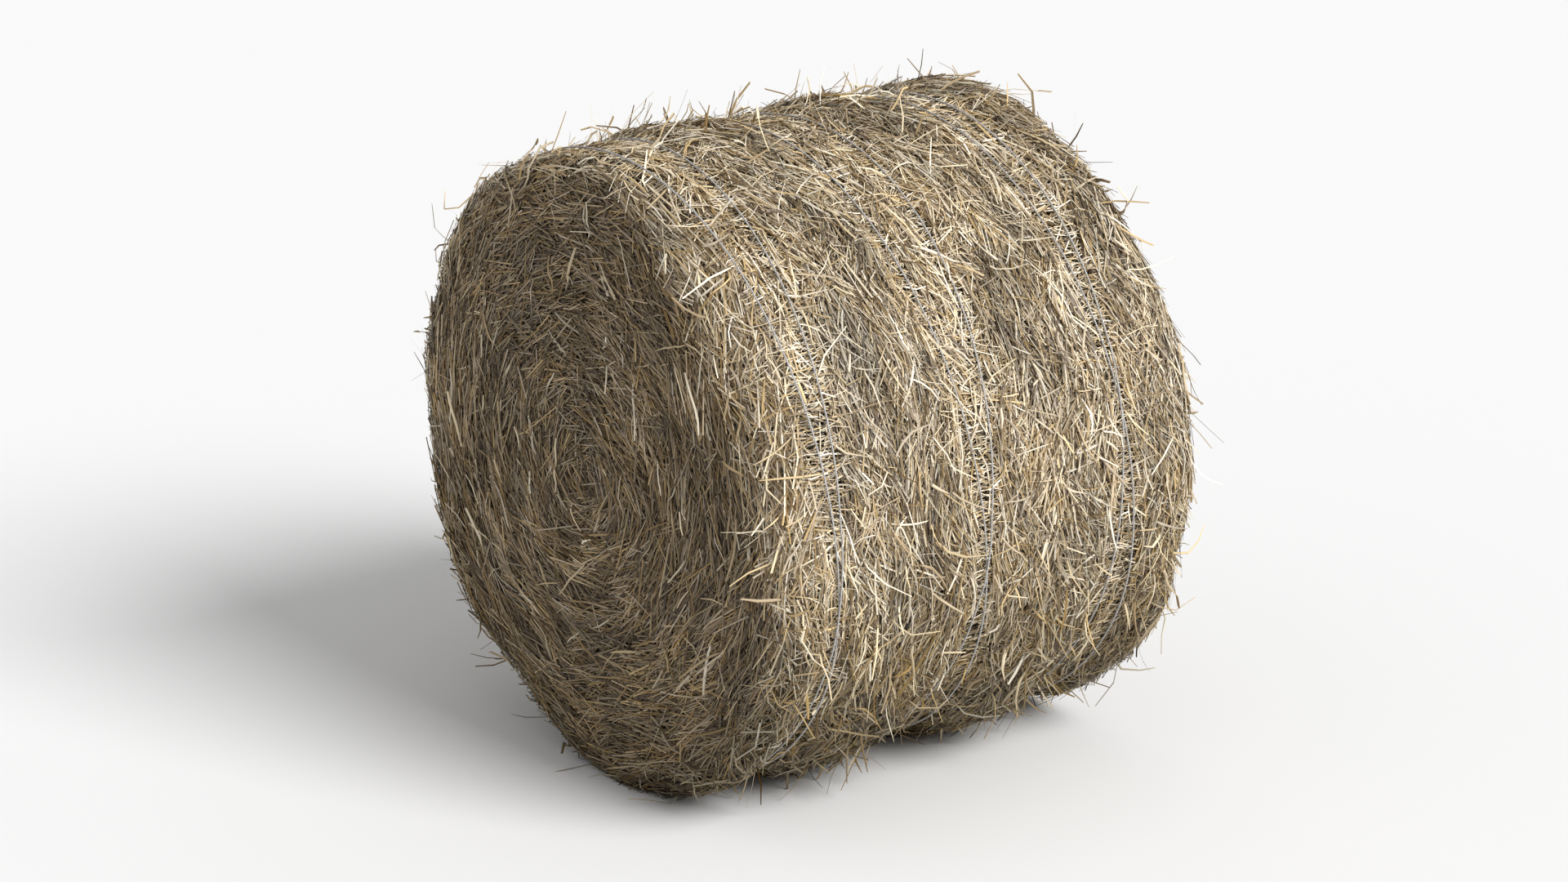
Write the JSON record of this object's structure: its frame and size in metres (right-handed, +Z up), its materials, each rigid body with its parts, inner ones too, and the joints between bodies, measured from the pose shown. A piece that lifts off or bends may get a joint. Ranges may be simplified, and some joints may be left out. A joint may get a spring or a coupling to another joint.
{
  "type": "round hay bale",
  "caption": "Round bale of dry hay lying on its side, rolled in layers and bound by double turns of twine that pull shallow valleys into it.",
  "frame": {"origin": "middle of the flat spot that the bale rests on, at the bottom centre of its box", "axes": "+Z up, +X along the bale's axis away from the end face that the picture shows, -Y towards the picture's side"},
  "size_m": [1.27, 1.63, 1.563],
  "materials": {
    "hay": "dry, loose and matt",
    "twine": "twisted, weathered"
  },
  "bodies": {
    "root": {"hay_roll": "hay", "twine_wrap_near": "twine", "twine_wrap_middle": "twine", "twine_wrap_far": "twine"}
  },
  "joints": []
}
